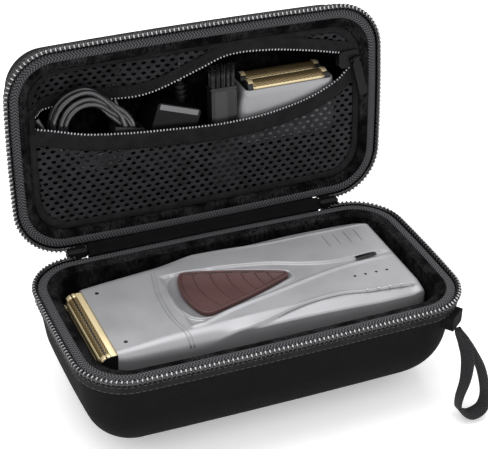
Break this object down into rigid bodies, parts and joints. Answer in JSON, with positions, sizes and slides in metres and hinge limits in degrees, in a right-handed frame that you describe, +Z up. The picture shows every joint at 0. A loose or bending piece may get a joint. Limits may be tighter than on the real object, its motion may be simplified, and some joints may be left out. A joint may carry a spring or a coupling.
{
  "type": "electric shaver hard case",
  "caption": "Black zipped hard case for an electric foil shaver, open, with the shaver in its base and a mesh pocket in the lid holding a spare head, brush, adapter and lead.",
  "frame": {"origin": "centre of the flat face that the base stands on", "axes": "+X along the case's length, towards the end nearer the wrist strap; +Y towards the hinge; +Z up, out of the open base"},
  "size_m": [0.1798, 0.1526, 0.1449],
  "materials": {
    "shell_cloth": "woven black cloth laminated over moulded foam",
    "lining_cloth": "brushed black tricot",
    "band_cloth": "black woven grosgrain band",
    "tape_cloth": "black zip tape",
    "zip_nylon": "black moulded nylon coil with shiny crowns",
    "slider_metal": "black enamelled zinc",
    "strap_webbing": "black herringbone webbing",
    "foam": "soft black foam",
    "mesh": "black knitted mesh",
    "silver_housing": "satin silver lacquer over moulded plastic",
    "foil_gold": "titanium-nitride gold, perforated steel foil",
    "frame_dark": "black moulded plastic",
    "cutter_steel": "ground steel blades",
    "switch_maroon": "soft maroon plastic",
    "screw_steel": "small dark screw",
    "motor_steel": "zinc-plated can",
    "battery_wrap": "blue shrink wrap",
    "board_green": "green solder mask",
    "light_guide": "smoked clear plastic",
    "lead_black": "glossy black cable jacket",
    "adapter_black": "black moulded plastic",
    "pale_grey": "pale grey plastic",
    "brush_grey": "dark grey plastic",
    "bristle": "black nylon bristle"
  },
  "bodies": {
    "base": {"base_shell": "shell_cloth", "base_lining": "lining_cloth", "base_rim_band": "band_cloth", "base_zip_tape": "tape_cloth", "base_zip_coil": "zip_nylon", "base_spine": "shell_cloth", "zip_sliders": "slider_metal", "strap_tab": "strap_webbing", "foam_bed": "foam"},
    "lid": {"lid_shell": "shell_cloth", "lid_lining": "lining_cloth", "lid_rim_band": "band_cloth", "lid_zip_tape": "tape_cloth", "lid_zip_coil": "zip_nylon", "lid_spine": "shell_cloth", "pocket_upper_tape": "tape_cloth", "pocket_lower_tape": "tape_cloth", "pocket_upper_coil": "zip_nylon", "pocket_lower_coil": "zip_nylon", "pocket_upper_panel": "mesh", "pocket_lower_panel": "mesh", "pocket_stop": "tape_cloth", "lead_hank": "lead_black", "lead_tail": "lead_black", "lead_tie": "frame_dark", "lead_plug": "lead_black", "adapter_case": "adapter_black", "adapter_strip": "pale_grey", "adapter_boot": "adapter_black", "brush_handle": "frame_dark", "brush_panel": "brush_grey", "brush_bristles": "bristle", "spare_cap": "silver_housing", "spare_frame": "frame_dark"},
    "pull_left": {"pull_tab_left": "slider_metal"},
    "pull_right": {"pull_tab_right": "slider_metal"},
    "pocket_slider": {"pocket_slider": "slider_metal"},
    "pocket_pull": {"pocket_pull": "slider_metal"},
    "wrist_strap": {"wrist_strap": "strap_webbing"},
    "shaver": {"bottom_housing": "silver_housing", "top_housing": "silver_housing", "head_cap": "silver_housing", "cap_screws": "screw_steel", "foil_frame": "frame_dark", "motor_body": "motor_steel", "battery": "battery_wrap", "circuit_board": "board_green", "status_lights": "light_guide", "charge_socket": "frame_dark"},
    "power_switch": {"power_switch": "switch_maroon"},
    "foil_upper": {"foil_upper": "foil_gold"},
    "foil_lower": {"foil_lower": "foil_gold"},
    "cutter_upper": {"cutter_upper": "cutter_steel"},
    "cutter_lower": {"cutter_lower": "cutter_steel"},
    "oscillator": {"oscillator": "frame_dark"},
    "rotor": {"motor_rotor": "cutter_steel"},
    "spare_foil_near": {"spare_foil_near": "foil_gold"},
    "spare_foil_far": {"spare_foil_far": "foil_gold"}
  },
  "joints": [
    {"name": "lid_hinge", "type": "hinge", "parent": "base", "child": "lid", "pos_m": [0, 0.04775, 0.05], "axis": [-1, 0, 0], "range_deg": [-96.9, 38]},
    {"name": "pull_left_swing", "type": "hinge", "parent": "base", "child": "pull_left", "pos_m": [-0.06075, 0.04925, 0.0453], "axis": [-1, 0, 0], "range_deg": [-75, 0]},
    {"name": "pull_right_swing", "type": "hinge", "parent": "base", "child": "pull_right", "pos_m": [0.06075, 0.04925, 0.0453], "axis": [-1, 0, 0], "range_deg": [-75, 0]},
    {"name": "pocket_slider_run", "type": "slide", "parent": "lid", "child": "pocket_slider", "axis": [-0.999, -0.0054, -0.0444], "range_m": [0, 0.119]},
    {"name": "pocket_pull_swing", "type": "hinge", "parent": "pocket_slider", "child": "pocket_pull", "pos_m": [0.0742, 0.05632, 0.11748], "axis": [-0.9703, -0.0291, -0.2402], "range_deg": [0, 150]},
    {"name": "strap_swing", "type": "hinge", "parent": "base", "child": "wrist_strap", "pos_m": [0.07971, -0.04358, 0.0348], "axis": [-1, 0, 0], "range_deg": [0, 90]},
    {"name": "shaver_lift", "type": "slide", "parent": "base", "child": "shaver", "axis": [0, 0, 1], "range_m": [0, 0.06]},
    {"name": "switch_slide", "type": "slide", "parent": "shaver", "child": "power_switch", "axis": [-1, 0, 0], "range_m": [0, 0.0035]},
    {"name": "foil_upper_press", "type": "slide", "parent": "shaver", "child": "foil_upper", "axis": [1, 0, 0], "range_m": [0, 0.0015], "stiffness_N_per_m": 400},
    {"name": "foil_lower_press", "type": "slide", "parent": "shaver", "child": "foil_lower", "axis": [1, 0, 0], "range_m": [0, 0.0015], "stiffness_N_per_m": 400},
    {"name": "oscillator_slide", "type": "slide", "parent": "shaver", "child": "oscillator", "axis": [0, 1, 0], "range_m": [-0.001, 0.001]},
    {"name": "cutter_upper_slide", "type": "slide", "parent": "foil_upper", "child": "cutter_upper", "axis": [0, 1, 0], "range_m": [-0.001, 0.001]},
    {"name": "cutter_lower_slide", "type": "slide", "parent": "foil_lower", "child": "cutter_lower", "axis": [0, 1, 0], "range_m": [-0.001, 0.001]},
    {"name": "rotor_spin", "type": "hinge", "parent": "shaver", "child": "rotor", "pos_m": [-0.03, 0.0036, 0.0344], "axis": [1, 0, 0], "continuous": true},
    {"name": "spare_near_press", "type": "slide", "parent": "lid", "child": "spare_foil_near", "axis": [0, -0.0157, -0.9999], "range_m": [0, 0.0015], "stiffness_N_per_m": 400},
    {"name": "spare_far_press", "type": "slide", "parent": "lid", "child": "spare_foil_far", "axis": [0, -0.0157, -0.9999], "range_m": [0, 0.0015], "stiffness_N_per_m": 400}
  ],
  "couplings": [
    {"joint": "cutter_upper_slide", "follows": "oscillator_slide", "ratio": 1},
    {"joint": "cutter_lower_slide", "follows": "oscillator_slide", "ratio": 1}
  ]
}
